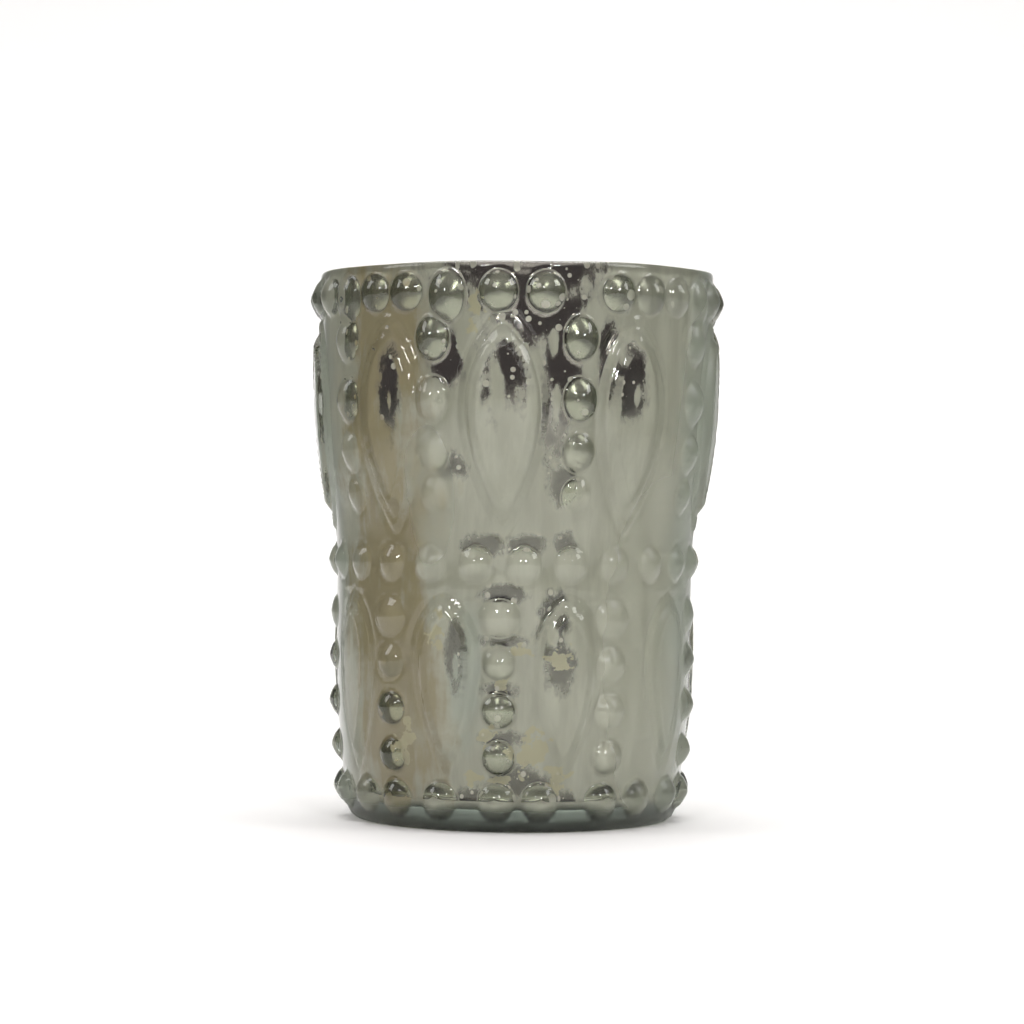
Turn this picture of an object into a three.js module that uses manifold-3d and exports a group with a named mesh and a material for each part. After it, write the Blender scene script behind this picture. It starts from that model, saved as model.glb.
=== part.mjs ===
// Tealight holder in mould-blown mercury glass, with the tealight that it holds.
//
// One thick glass tumbler, blown into a three-part mould: each third of the outside carries the same
// run of hobnail beads and raised petals, and the third is repeated three times round the axis.
// The inside is silvered, and drawn smooth here, without the soft hollows that it has behind the beads.
// A loose tealight stands on the silvered floor and lifts straight out.
//
// Units are millimetres. +Z is up, the origin is the middle of the base on the plane it stands on, and
// -Y is the front. Angles are in degrees from the front, positive towards +X.

import * as THREE from "three";
import { mergeVertices } from "three/addons/utils/BufferGeometryUtils.js";
import Module from "manifold-3d";

const wasm = await Module();
wasm.setup();

// ---------------------------------------------------------------- driving dimensions

const HEIGHT = 95; // rim above the table
const RIM_R = 34.3; // outside radius of the plain band at the rim
const WALL = 2.4; // glass thickness of the side
const CORNER = 2.4; // round corner between the inside wall and the floor
const FLOOR_Z = 3.8; // top of the glass floor
const FOOT_R = 26.3; // outer radius of the flat ring that it stands on
const PUNT_R = 20; // radius of the shallow hollow under the base
const PUNT_DEPTH = 1;
const FILM = 0.3; // silvering and its lacquer, drawn far thicker than the real film
const FILM_STOP = 0.5; // the film ends this far below the rim
const FILM_GAP = 0.02; // keeps the film's surface off the glass
const MOULD_PARTS = 3; // the pattern repeats this often round the axis
const SIDES = 36; // facets round the tumbler, a multiple of MOULD_PARTS

// The side's outside radius, bead and petal relief left out, as [height, radius] from the foot to the rim.
const SIDE = [
  [2.4, 28.7],
  [17, 30.4],
  [48, 31.1],
  [60, 33],
  [72, 34.1],
];

// Beads: each row is a ring of them at one height, with the angles that one mould part holds.
// radius is half the bead's width, tall stretches it upwards, and rise is how far it stands out.
const BEAD_ROWS = [
  { z: 89.5, radius: 3.2, tall: 1.1, rise: 1.95, angles: [-56, -44.5, -33, -20.5, -5, 8, 30, 41.5, 53] },
  { z: 45.5, radius: 2.9, tall: 1.1, rise: 1.5, angles: [-57, -42, -27, -12, 3, 18, 33, 48] },
  { z: 5.6, radius: 3, tall: 1, rise: 2.1, angles: [-57, -42, -24.5, -5.5, 9.5, 30.5, 45.5] },
];

// Upper and lower panels: petals, with a column of beads standing between each two.
const UPPER = {
  petals: [-39.5, -3.5, 37],
  columns: [-57, -24.5, 18.5],
  petal: { low: 50.8, high: 86, halfWidth: 7, widest: 0.6, rise: 1.2 },
  beads: [
    { z: 81.5, radius: 2.9, tall: 1.4, rise: 1.9 },
    { z: 71.8, radius: 2.9, tall: 1.35, rise: 1.8 },
    { z: 63.2, radius: 2.6, tall: 1.25, rise: 1.6 },
    { z: 55.9, radius: 2.3, tall: 1.15, rise: 1.3 },
  ],
};
const LOWER = {
  petals: [-62, -22, 17.5],
  columns: [-42.5, -4.5, 32.5],
  petal: { low: 10.5, high: 39.5, halfWidth: 5.2, widest: 0.68, rise: 0.8 },
  beads: [
    { z: 36.2, radius: 3.2, tall: 0.9, rise: 1.3 },
    { z: 28.4, radius: 2.8, tall: 1, rise: 1.3 },
    { z: 20.6, radius: 2.9, tall: 1, rise: 1.4 },
    { z: 12.9, radius: 2.8, tall: 1, rise: 1.5 },
  ],
};
const BEAD_SIDES = 6;
const BEAD_ROOT = 0.9; // how far each bead or petal reaches into the wall behind it
const PETAL_POINTS = 12; // points round a petal's outline

// The tealight, a standard one.
const TEALIGHT_SIDES = 36;
const CUP_R = 19.1;
const CUP_HEIGHT = 15.5;
const CUP_WALL = 0.25;
const CUP_LIP = 0.35; // the rolled edge's reach past the cup's side
const WAX_HEIGHT = 12.6;
const WAX_GAP = 0.05;
const WICK_R = 0.75;
const WICK_HEIGHT = 18.5; // from the sustainer's plate
const PLATE_R = 8;
const PLATE_T = 0.3;
const COLLAR_R = 1.45;
const COLLAR_HEIGHT = 3.4;

// ---------------------------------------------------------------- small helpers

const radians = THREE.MathUtils.degToRad;

// The side's radius at a height, straight between the points of SIDE.
function sideRadius(z) {
  const next = SIDE.findIndex(([height]) => height >= z);
  if (next === 0) return SIDE[0][1];
  const [z0, r0] = next < 0 ? SIDE.at(-1) : SIDE[next - 1];
  const [z1, r1] = next < 0 ? [HEIGHT, RIM_R] : SIDE[next];
  return THREE.MathUtils.mapLinear(z, z0, z1, r0, r1);
}

// A point at an angle from the front, a distance from the axis and a height.
function around(angle, radius, z) {
  const a = radians(angle);
  return new THREE.Vector3(radius * Math.sin(a), -radius * Math.cos(a), z);
}

// A turned piece: profile is [radius, height] pairs, anticlockwise seen with the axis on the left.
function turned(profile, sides) {
  const points = profile.map(([r, z]) => new THREE.Vector2(r, z));
  const lathe = new THREE.LatheGeometry(points, sides);
  return lathe.rotateX(Math.PI / 2); // its axis from Y to Z
}

// A closed geometry as a manifold-3d solid.
function solid(geometry) {
  const bare = geometry.index ? geometry.toNonIndexed() : geometry.clone();
  bare.deleteAttribute("normal");
  bare.deleteAttribute("uv");
  const merged = mergeVertices(bare, 1e-4);
  const vertProperties = merged.attributes.position.array;
  const triVerts = new Uint32Array(merged.index.array);
  return new wasm.Manifold(new wasm.Mesh({ numProp: 3, vertProperties, triVerts }));
}

function geometryOf(manifold) {
  const mesh = manifold.getMesh();
  const geometry = new THREE.BufferGeometry();
  geometry.setAttribute("position", new THREE.BufferAttribute(mesh.vertProperties, mesh.numProp));
  geometry.setIndex(new THREE.BufferAttribute(mesh.triVerts, 1));
  geometry.computeVertexNormals();
  return geometry;
}

// Every angle round the tumbler of what one mould part holds at these angles.
function everyPart(angles) {
  const turns = [...Array(MOULD_PARTS).keys()];
  return turns.flatMap((turn) => angles.map((angle) => angle + (turn * 360) / MOULD_PARTS));
}

// ---------------------------------------------------------------- glass

// The plain tumbler: outside up to the rim, over it, down the inside, across the floor, and back
// under the base round the punt.
function tumbler() {
  const rim = [
    [RIM_R, HEIGHT - 0.8],
    [RIM_R - 0.8, HEIGHT],
    [RIM_R - WALL + 0.6, HEIGHT],
  ];
  const outside = SIDE.map(([z, r]) => [r, z]);
  const under = [
    [0, PUNT_DEPTH],
    [PUNT_R - 2, PUNT_DEPTH],
    [PUNT_R, 0],
    [FOOT_R, 0],
    [FOOT_R + 1.7, 0.7],
  ];
  return turned([...under, ...outside, ...rim, ...innerProfile(0)], SIDES);
}

// The inside from just under the rim down to the middle of the floor, drawn in by inset.
function innerProfile(inset) {
  const heights = [HEIGHT - FILM_STOP, 72, 60, 48, 17, FLOOR_Z + CORNER];
  const wall = heights.map((z) => [sideRadius(z) - WALL - inset, z]);
  const cornerR = wall.at(-1)[0];
  const floor = FLOOR_Z + inset;
  return [...wall, [cornerR - CORNER * 0.3, floor + CORNER * 0.3], [cornerR - CORNER, floor], [0, floor]];
}

// One hobnail bead: a dome drawn up to a blunt point, with a root that sits in the wall.
function bead({ z, radius, tall, rise }, angle) {
  const section = [
    [0, -BEAD_ROOT],
    [radius * 1.12, -BEAD_ROOT],
    [radius * 0.62, rise * 0.72],
    [0, rise],
  ];
  const place = new THREE.Matrix4().makeRotationZ(radians(angle));
  place.setPosition(around(angle, sideRadius(z), z));
  const outwards = new THREE.Matrix4().makeRotationX(Math.PI / 2); // the bead's own Z to -Y, the front
  const stretch = new THREE.Matrix4().makeScale(1, tall, 1);
  return solid(turned(section, BEAD_SIDES).applyMatrix4(stretch).applyMatrix4(outwards).applyMatrix4(place));
}

// A petal's half width at a share t of its height, from 0 at its lower point to 1 at its top.
function petalHalfWidth({ halfWidth, widest }, t) {
  const side = t < widest ? t / widest : (1 - t) / (1 - widest);
  return halfWidth * Math.sin((side * Math.PI) / 2);
}

// One petal: an almond with a broad raised border round a shallow hollow, bent round the wall.
function petal(shape, angle) {
  const middle = (shape.low + shape.high) / 2;
  const rings = [
    { size: 1.05, rise: -BEAD_ROOT },
    { size: 0.84, rise: shape.rise },
    { size: 0.66, rise: shape.rise },
    { size: 0.5, rise: shape.rise * 0.3 },
  ];
  const half = PETAL_POINTS / 2;
  const outline = [...Array(PETAL_POINTS).keys()].map((i) => {
    const up = i < half; // up its right side, then down its left
    const share = up ? i / half : 2 - i / half;
    const across = petalHalfWidth(shape, share) * (up ? 1 : -1);
    return { across, z: THREE.MathUtils.lerp(shape.low, shape.high, share) };
  });
  const onWall = (across, z, rise) => {
    const r = sideRadius(z) + rise;
    return around(angle + THREE.MathUtils.radToDeg(across / sideRadius(z)), r, z);
  };
  const points = rings.flatMap(({ size, rise }) =>
    outline.map(({ across, z }) => onWall(across * size, middle + (z - middle) * size, rise)),
  );
  const back = points.push(onWall(0, middle, -BEAD_ROOT)) - 1;
  const front = points.push(onWall(0, middle, shape.rise * 0.3)) - 1;
  const index = [];
  const last = (rings.length - 1) * PETAL_POINTS;
  for (let i = 0; i < PETAL_POINTS; i++) {
    const j = (i + 1) % PETAL_POINTS;
    for (let k = 0; k < last; k += PETAL_POINTS) {
      index.push(k + i, k + j, k + PETAL_POINTS + j);
      index.push(k + i, k + PETAL_POINTS + j, k + PETAL_POINTS + i);
    }
    index.push(back, j, i);
    index.push(last + i, last + j, front);
  }
  const geometry = new THREE.BufferGeometry().setFromPoints(points);
  geometry.setIndex(index);
  return solid(geometry);
}

function glassGeometry() {
  const rows = BEAD_ROWS.flatMap((row) => everyPart(row.angles).map((angle) => bead(row, angle)));
  const panels = [UPPER, LOWER].flatMap((panel) => [
    ...everyPart(panel.petals).map((angle) => petal(panel.petal, angle)),
    ...everyPart(panel.columns).flatMap((angle) => panel.beads.map((one) => bead(one, angle))),
  ]);
  const relief = [...rows, ...panels].reduce((sum, one) => sum.add(one));
  return geometryOf(solid(tumbler()).add(relief));
}

// ---------------------------------------------------------------- silvering

// A film on the inside, from just under the rim to the middle of the floor.
function silveringGeometry() {
  const outer = innerProfile(FILM_GAP);
  const inner = innerProfile(FILM_GAP + FILM);
  return turned([...outer.reverse(), ...inner], SIDES);
}

// ---------------------------------------------------------------- tealight

// All heights below are above the underside of the cup.
function cupGeometry() {
  const inside = CUP_R - CUP_WALL;
  return turned(
    [
      [0, 0],
      [CUP_R - 1, 0],
      [CUP_R, 1],
      [CUP_R, CUP_HEIGHT - 0.9],
      [CUP_R + CUP_LIP, CUP_HEIGHT - 0.6],
      [CUP_R + CUP_LIP, CUP_HEIGHT - 0.1],
      [CUP_R, CUP_HEIGHT],
      [inside, CUP_HEIGHT - 0.2],
      [inside, 1.1],
      [inside - 0.9, CUP_WALL],
      [0, CUP_WALL],
    ],
    TEALIGHT_SIDES,
  );
}

// The wax fills the cup round the sustainer and the wick, with a low rise where it creeps up the wick.
function waxGeometry() {
  const r = CUP_R - CUP_WALL - WAX_GAP;
  const bottom = CUP_WALL + WAX_GAP;
  const overPlate = bottom + PLATE_T + WAX_GAP;
  const overCollar = bottom + COLLAR_HEIGHT + WAX_GAP;
  return turned(
    [
      [PLATE_R + WAX_GAP, bottom],
      [r - 0.9, bottom],
      [r, bottom + 1],
      [r, WAX_HEIGHT + 0.5],
      [r - 0.8, WAX_HEIGHT],
      [WICK_R + 1.6, WAX_HEIGHT - 0.2],
      [WICK_R + WAX_GAP, WAX_HEIGHT + 0.3],
      [WICK_R + WAX_GAP, overCollar],
      [COLLAR_R + WAX_GAP, overCollar],
      [COLLAR_R + WAX_GAP, overPlate],
      [PLATE_R + WAX_GAP, overPlate],
      [PLATE_R + WAX_GAP, bottom],
    ],
    TEALIGHT_SIDES,
  );
}

// The tinned plate that the wick stands in, with its crimped collar.
function sustainerGeometry() {
  const bore = WICK_R + WAX_GAP;
  return turned(
    [
      [0, 0],
      [PLATE_R, 0],
      [PLATE_R, PLATE_T],
      [COLLAR_R, PLATE_T],
      [COLLAR_R - 0.25, COLLAR_HEIGHT],
      [bore, COLLAR_HEIGHT],
      [bore, PLATE_T],
      [0, PLATE_T],
    ],
    TEALIGHT_SIDES / 2,
  );
}

// A braided cotton wick, upright and leaning over a little at its tip.
function wickGeometry() {
  const section = new THREE.Shape();
  section.absellipse(0, 0, WICK_R, WICK_R, 0, Math.PI * 2);
  const bend = WAX_HEIGHT - CUP_WALL + 1.5;
  const path = new THREE.CatmullRomCurve3([
    new THREE.Vector3(0, 0, 0),
    new THREE.Vector3(0, 0, bend / 2),
    new THREE.Vector3(0, 0, bend),
    new THREE.Vector3(0.5, 0, (bend + WICK_HEIGHT) / 2 + 0.4),
    new THREE.Vector3(1.5, 0, WICK_HEIGHT),
  ]);
  const settings = { steps: 16, curveSegments: 4, bevelEnabled: false, extrudePath: path };
  return new THREE.ExtrudeGeometry(section, settings);
}

// ---------------------------------------------------------------- assembly

function piece(name, geometry, color, roughness, metalness, z = 0) {
  const material = new THREE.MeshStandardMaterial({ color, roughness, metalness });
  const mesh = new THREE.Mesh(geometry, material);
  mesh.name = name;
  mesh.position.z = z;
  return mesh;
}

const holder = new THREE.Group();
holder.add(piece("glass_tumbler", glassGeometry(), 0x9a9d8f, 0.12, 0.1));
holder.add(piece("silvered_lining", silveringGeometry(), 0xa7a79b, 0.25, 0.9));

const tealight = new THREE.Group();
const STANDS_ON = FLOOR_Z + FILM_GAP + FILM;
const PLATE_Z = CUP_WALL + WAX_GAP;
tealight.position.z = STANDS_ON + WAX_GAP;
tealight.add(piece("tealight_cup", cupGeometry(), 0xc9cbcc, 0.35, 1));
tealight.add(piece("wax_fill", waxGeometry(), 0xf0ece0, 0.5, 0));
tealight.add(piece("wick_sustainer", sustainerGeometry(), 0xb8b9ba, 0.4, 1, PLATE_Z));
tealight.add(piece("wick", wickGeometry(), 0xe9e2cf, 0.9, 0, PLATE_Z + PLATE_T + WAX_GAP));
holder.add(tealight);

export default holder;
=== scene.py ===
import math

import bpy
import numpy as np
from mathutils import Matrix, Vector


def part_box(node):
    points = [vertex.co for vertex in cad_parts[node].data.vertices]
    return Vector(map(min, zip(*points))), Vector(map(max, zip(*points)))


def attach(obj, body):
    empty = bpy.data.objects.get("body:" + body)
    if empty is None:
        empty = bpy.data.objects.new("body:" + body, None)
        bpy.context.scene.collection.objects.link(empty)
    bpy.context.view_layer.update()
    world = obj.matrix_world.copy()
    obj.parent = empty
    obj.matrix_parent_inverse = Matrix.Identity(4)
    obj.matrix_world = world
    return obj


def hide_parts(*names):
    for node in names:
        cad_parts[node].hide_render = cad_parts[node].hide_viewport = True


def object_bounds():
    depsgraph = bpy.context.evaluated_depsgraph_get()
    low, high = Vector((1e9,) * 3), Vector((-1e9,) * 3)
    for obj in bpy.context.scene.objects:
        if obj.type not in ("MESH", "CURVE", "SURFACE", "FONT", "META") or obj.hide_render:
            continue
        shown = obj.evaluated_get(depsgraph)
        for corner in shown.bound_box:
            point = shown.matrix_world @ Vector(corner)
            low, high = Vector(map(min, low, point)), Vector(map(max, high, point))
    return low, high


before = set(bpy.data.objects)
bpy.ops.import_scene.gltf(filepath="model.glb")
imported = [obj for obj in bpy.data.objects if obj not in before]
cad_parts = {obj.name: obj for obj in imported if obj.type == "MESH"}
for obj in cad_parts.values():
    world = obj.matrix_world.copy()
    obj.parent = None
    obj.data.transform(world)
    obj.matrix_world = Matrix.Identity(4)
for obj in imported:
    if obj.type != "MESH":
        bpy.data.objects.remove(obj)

box_at_start = [list(corner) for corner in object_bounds()]

# ---------------------------------------------------------------- glass tumbler
# One gather of soda-lime glass, blown into a mould of three parts, which leaves beads and petals on the outside,
# the same on each third. Where it was hottest the well's wall follows them softly, and elsewhere it is nearly
# smooth. The rim is cut and fire polished, a little out of level.

MM = 0.001
FINE, COARSE = 480, 240  # points round the outside, and round the foot, rim and well
FINE_STEP, COARSE_STEP = 0.62, 1.15  # heights between rows, up the outside and down the well
WALL = 2.4
CORNER = 1.5
HOLLOW = 1  # the depth of the hollow under the base
SOFTEN = 0.45  # the reach over which the relief is softened where the well's wall follows it
FOLLOW, FOLLOW_MORE = 0.25, 0.6  # the share of the relief that the well's wall takes up, and how much more where hot
RIM_SLOPE, RIM_WAVE = 0.3, 0.06  # how far the rim dips to each side of level, and the height of its waves
FILM_GAP = 0.02
FILM = 0.28
THIRD = 120

_, glass_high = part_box("glass_tumbler")
film_low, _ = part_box("silvered_lining")
HEIGHT = glass_high[2] / MM
FLOOR_TOP = film_low[2] / MM - FILM_GAP
WELL_TOP = HEIGHT - 2.2  # where the well's wall meets the rounding of the rim
FLOOR_RING = 12  # the radius of the last ring on the well's floor, before the axis
MEAN_R = 33  # the wall's middling radius, which turns an angle into a distance round it

# Height and outside radius of the wall behind the relief, from the foot up.
WALL_Z = [2.4, 9, 19, 34, 46, 51.5, 57, 63, 69, 76, 85, 91, HEIGHT]
WALL_R = [28.7, 29.6, 30.5, 30.8, 30.9, 31.3, 32.1, 33.1, 33.8, 34.0, 34.0, 34.2, 34.2]

# Beads as rows round the tumbler: height, half width, half height, how far they stand out, and the angles
# from the front that one third of the mould holds.
BEAD_ROWS = [
    (89.6, 3.2, 3.4, 1.9, (-44.25, -33, -5.25, 8.25, 30, 41.25, 52.5)),
    (88.8, 3.2, 4.6, 1.9, (-56.25, -20.25)),
    (44.7, 2.8, 2.8, 1.4, (-57, -42, -27, -12, 3, 18, 33, 48)),
    (5.3, 3.1, 3.1, 2.0, (-57, -42, -24.75, -5.25, 9, 30.75, 45.75)),
]
UPPER_COLUMNS = (-57, -24.75, 18.75)
UPPER_BEADS = [(82.0, 2.9, 3.9, 1.8), (71.9, 2.9, 3.8, 1.7), (63.3, 2.7, 3.3, 1.5), (56.1, 2.5, 2.8, 1.2)]
LOWER_COLUMNS = (-42.75, -4.5, 32.25)
LOWER_BEADS = [(35.7, 3.4, 3.1, 1.0), (28.1, 2.8, 2.8, 1.3), (20.3, 2.9, 2.9, 1.5), (12.5, 2.8, 2.8, 1.6)]
for column_angles, column_beads in ((UPPER_COLUMNS, UPPER_BEADS), (LOWER_COLUMNS, LOWER_BEADS)):
    BEAD_ROWS += [(*bead, column_angles) for bead in column_beads]

# Petals: angles in one third, then for the outline and for the flat face inside it the lowest point, the widest
# height, the top and the half width. The face stands out by rise.
PETALS = [
    {"angles": (-39.4, -3.75, 36.25), "outline": (49.6, 71, 86, 7.4), "face": (55, 70.5, 81.2, 4.4), "rise": 1.25},
    {"angles": (-62, -22, 17.5), "outline": (9.5, 30, 39.4, 6.0), "face": (13.5, 28, 36, 3.4), "rise": 0.7},
]

# Where the glass was hottest, and the well's wall follows the relief more, as soft ovals: angle from the front,
# height, half width and half height.
HOT_SPOTS = [
    (-8, 90, 75, 42), (19, 78, 22, 26), (-57, 78, 14, 14), (-5, 8, 70, 14), (-43, 14, 20, 15), (-4, 24, 14, 22),
    (120, 88, 60, 20), (-120, 88, 60, 20), (180, 12, 90, 16),
]


def wall_radius(height):
    """The outside of the wall behind the relief, in mm, eased between the heights that set it."""
    eased = [np.interp(height + step, WALL_Z, WALL_R) for step in (-3, -1.5, 0, 1.5, 3)]
    return sum(eased) / len(eased)


def petal_width(petal, height):
    low, widest, top, half_width = petal
    upper = np.clip((top - height) / (top - widest), 0, 1)
    lower = np.clip((height - low) / (widest - low), 0, 1)
    share = np.where(height > widest, upper, lower)
    fullness = np.where(height > widest, 0.6, 0.85)
    return half_width * np.sin(share * math.pi / 2) ** fullness


def inside_edge(petal, across, height):
    """About how far each point lies inside a petal's edge, in mm, and less than 0 outside it."""
    low, _, top, _ = petal
    steepness = (petal_width(petal, height + 0.1) - petal_width(petal, height - 0.1)) / 0.2
    inner = (petal_width(petal, height) - np.abs(across)) / np.sqrt(1 + steepness**2)
    beyond = np.maximum(height - top, low - height)
    return np.where(beyond > 0, -np.hypot(across, beyond), inner)


def smooth(low, high, value):
    share = np.clip((value - low) / (high - low), 0, 1)
    return share * share * (3 - 2 * share)


def soft_spots(spots, angle, height):
    """How near each point is to the middle of the nearest of several ovals: 1 there, 0 on its edge."""
    nearness = [
        1 - np.hypot(((angle - middle + 180) % 360 - 180) / half_width, (height - middle_z) / half_height)
        for middle, middle_z, half_width, half_height in spots
    ]
    return np.clip(np.max(nearness, axis=0), -1, 1)


def mould(angle, height):
    """How far the pattern stands out, in mm, how far inside a bead each point is, and if it is on a petal's slope."""
    radius = wall_radius(height)
    out, crown, slope = np.zeros_like(height), np.full_like(height, -1.0), np.zeros_like(height)

    def across_from(middle):
        turn = (angle - middle + THIRD / 2) % THIRD - THIRD / 2
        return np.radians(turn) * radius

    for petal in PETALS:
        for middle in petal["angles"]:
            across = across_from(middle)
            edge = inside_edge(petal["outline"], across, height)
            face = inside_edge(petal["face"], across, height)
            share = np.clip(edge / np.maximum(edge - face, 0.01), 0, 1)
            # A thin raised border, then the slope up to the face, with a faint lip at its top.
            border = 0.38 * np.exp(-(((share - 0.13) / 0.1) ** 2)) + smooth(0.26, 0.84, share)
            border += 0.16 * np.exp(-(((share - 0.92) / 0.09) ** 2))
            flat = 1 - 0.14 * np.exp(-np.clip(face, 0, None) / 0.5)
            shape = petal["rise"] * np.where(face > 0, flat, border * np.clip(edge / 0.4, 0, 1))
            # A fine groove runs round the outline, and another round each bead below.
            groove = -0.22 * np.exp(-(((edge + 0.3) / 0.5) ** 2))
            out += np.where(edge > 0, shape, groove)
            slope = np.maximum(slope, smooth(0.2, 0.34, share) * smooth(1, 0.76, share) * (edge > 0))
    for middle_z, half_width, half_height, rise, angles in BEAD_ROWS:
        for middle in angles:
            share = np.hypot(across_from(middle) / half_width, (height - middle_z) / half_height)
            # A bead is a low dome that comes to a blunt point in its middle.
            within = np.clip(1 - share**2, 0, 1)
            cone = np.clip(1.1 - np.sqrt(share**2 + 0.01), 0, 1)
            dome = rise * (0.42 * within**0.6 + 0.58 * cone)
            moat = -0.14 * np.exp(-(((share - 1) * half_width / 0.45) ** 2))
            out = np.where(share < 1, out * share**2 + dome, out) + moat
            crown = np.maximum(crown, 1 - share)
            slope *= smooth(0.9, 1.1, share)
    return out, crown, slope


def wobble(angle, height):
    """The slow unevenness of a wall blown by mouth, in mm."""
    turn = np.radians(angle)
    slow = np.sin(3 * turn + height / 17) + 0.7 * np.sin(5 * turn - height / 11 + 1.3)
    return 0.05 * slow + 0.03 * np.sin(11 * turn + height / 6 + 0.5)


def ring_angles(points_round):
    return np.linspace(-math.pi, math.pi, points_round, endpoint=False)


def rows_between(low, high, step):
    """Heights from low to high, about a step apart, that land on the tip of every bead."""
    marks = [low, *sorted(row[0] for row in BEAD_ROWS if low < row[0] < high), high]
    spans = [np.linspace(a, b, max(1, round((b - a) / step)), endpoint=False) for a, b in zip(marks, marks[1:])]
    return np.concatenate([*spans, [high]])


def new_piece(name, points, faces):
    """A smooth mesh piece from points in mm."""
    mesh = bpy.data.meshes.new(name)
    mesh.from_pydata([tuple(c * MM for c in point) for point in points], [], faces)
    mesh.polygons.foreach_set("use_smooth", [True] * len(faces))
    mesh.update()
    piece = bpy.data.objects.new(name, mesh)
    bpy.context.scene.collection.objects.link(piece)
    return piece


def turned_piece(name, rings, axis_ends=()):
    """A closed piece from rings of (radii, heights), ended on the axis at two heights or else closed in a loop."""
    points, starts = [], []
    for radii, heights in rings:
        starts.append(len(points))
        angles = ring_angles(len(radii))
        points += zip(radii * np.sin(angles), -radii * np.cos(angles), heights)
    looped = [] if axis_ends else [(starts[0], rings[0])]
    around = list(zip(starts, rings)) + looped
    faces = []
    for (start, ring), (after, next_ring) in zip(around, around[1:]):
        here, there = len(ring[0]), len(next_ring[0])
        cells = min(here, there)
        wide, narrow = here // cells, there // cells
        for cell in range(cells):
            low_edge = [start + (cell * wide + i) % here for i in range(wide + 1)]
            high_edge = [after + (cell * narrow + i) % there for i in range(narrow + 1)]
            faces.append(low_edge + high_edge[::-1])
    if axis_ends:
        points += [(0, 0, height) for height in axis_ends]
        for axis_point, at, turn in ((len(points) - 2, 0, -1), (len(points) - 1, -1, 1)):
            count = len(rings[at][0])
            for i in range(count):
                faces.append([axis_point, *(starts[at] + (i + step) % count for step in (0, 1)[::turn])])
    return new_piece(name, points, faces)


def even_ring(radius, height, points_round):
    return np.full(points_round, float(radius)), np.full(points_round, float(height))


def well_rings(top, inset, points_round, row_step):
    """Rings down the well's wall, which follows the mould softly, and across its floor, drawn in by inset."""
    rows = rows_between(FLOOR_TOP + CORNER, top, row_step)[:0:-1]
    angle, height = np.meshgrid(np.degrees(ring_angles(points_round)), rows)
    about = [(0, 0), (SOFTEN, 0), (-SOFTEN, 0), (0, SOFTEN), (0, -SOFTEN)]
    soft = sum(mould(angle + math.degrees(along / MEAN_R), height + up)[0] for along, up in about) / len(about)
    fade = smooth(0, 3, height - FLOOR_TOP - CORNER) * smooth(0, 4, HEIGHT - height)
    follow = FOLLOW + FOLLOW_MORE * smooth(0, 0.45, soft_spots(HOT_SPOTS, angle, height))
    radii = wall_radius(height) + wobble(angle, height) * fade - WALL - inset + follow * soft * fade
    rings = list(zip(radii, height))
    last_r = float(wall_radius(FLOOR_TOP + CORNER)) - WALL - inset
    for t in np.linspace(0, math.pi / 2, 6):
        drop = CORNER * (1 - math.sin(t))
        rings.append(even_ring(last_r - CORNER * (1 - math.cos(t)), FLOOR_TOP + inset + drop, points_round))
    rings.append(even_ring(FLOOR_RING, FLOOR_TOP + inset, points_round))
    return rings


def rim_dip(points_round):
    """How far the rim lies under its highest point, in mm: it slopes a little, and waves."""
    turn = ring_angles(points_round)
    return RIM_SLOPE * (1 - np.sin(turn)) + RIM_WAVE + RIM_WAVE * np.sin(7 * turn + 0.7)


# The underside, as radius and height: the hollow, the flat ring that it stands on, and the corner.
foot = [(FLOOR_RING, HOLLOW), (18.6, 0.9), (19.6, 0.5), (20.4, 0.06), (21, 0), (26, 0), (27.2, 0.2), (28.0, 0.8)]
rings = [even_ring(radius, height, COARSE) for radius, height in foot]
side_angle, side_height = np.meshgrid(
    np.degrees(ring_angles(FINE)), rows_between(1.6, HEIGHT - 1.7, FINE_STEP),
)
corner_in = 0.35 * np.clip(2.6 - side_height, 0, 1) ** 2  # the wall draws in over the foot's corner
side_r = wall_radius(side_height) - corner_in + mould(side_angle, side_height)[0] + wobble(side_angle, side_height)
rings += list(zip(side_r, side_height))
# The rim's rounding, as radius and the distance under the top.
RIM = [(34.2, 1), (34.1, 0.45), (33.85, 0.18), (33.2, 0.06), (32.6, 0.05)]
RIM += [(32.15, 0.08), (31.85, 0.16), (31.7, 0.3), (31.66, 0.5)]
for radius, drop in RIM:
    radii, heights = even_ring(radius, HEIGHT - drop, COARSE)
    rings.append((radii + wobble(np.degrees(ring_angles(COARSE)), heights), heights - rim_dip(COARSE)))
rings += well_rings(WELL_TOP, FILM / 2, COARSE, COARSE_STEP)
tumbler = turned_piece("tumbler_glass", rings, (HOLLOW, FLOOR_TOP))
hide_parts("glass_tumbler")
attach(tumbler, "holder")

# Where the outside is etched to a soft frost, as soft ovals: angle, height, half width and half height.
FROSTED_SPOTS = [(52, 30, 36, 46), (72, 60, 28, 52), (-26, 56, 12, 18), (-150, 50, 40, 60)]


def ring_places(rings):
    """The angle from the front, in degrees, the radius and the height of every point of a turned piece's rings."""
    angle = np.concatenate([np.degrees(ring_angles(len(radii))) for radii, _ in rings])
    return angle, np.concatenate([radii for radii, _ in rings]), np.concatenate([heights for _, heights in rings])


def keep_values(piece, name, values):
    """Stores a value at every point of a turned piece. The two points on its axis take the first and last value."""
    layer = piece.data.attributes.new(name, "FLOAT", "POINT")
    layer.data.foreach_set("value", [*values, values[0], values[-1]])


glass_angle, _, glass_height = ring_places(rings)
keep_values(tumbler, "frost", smooth(0, 0.5, soft_spots(FROSTED_SPOTS, glass_angle, glass_height)))


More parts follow.
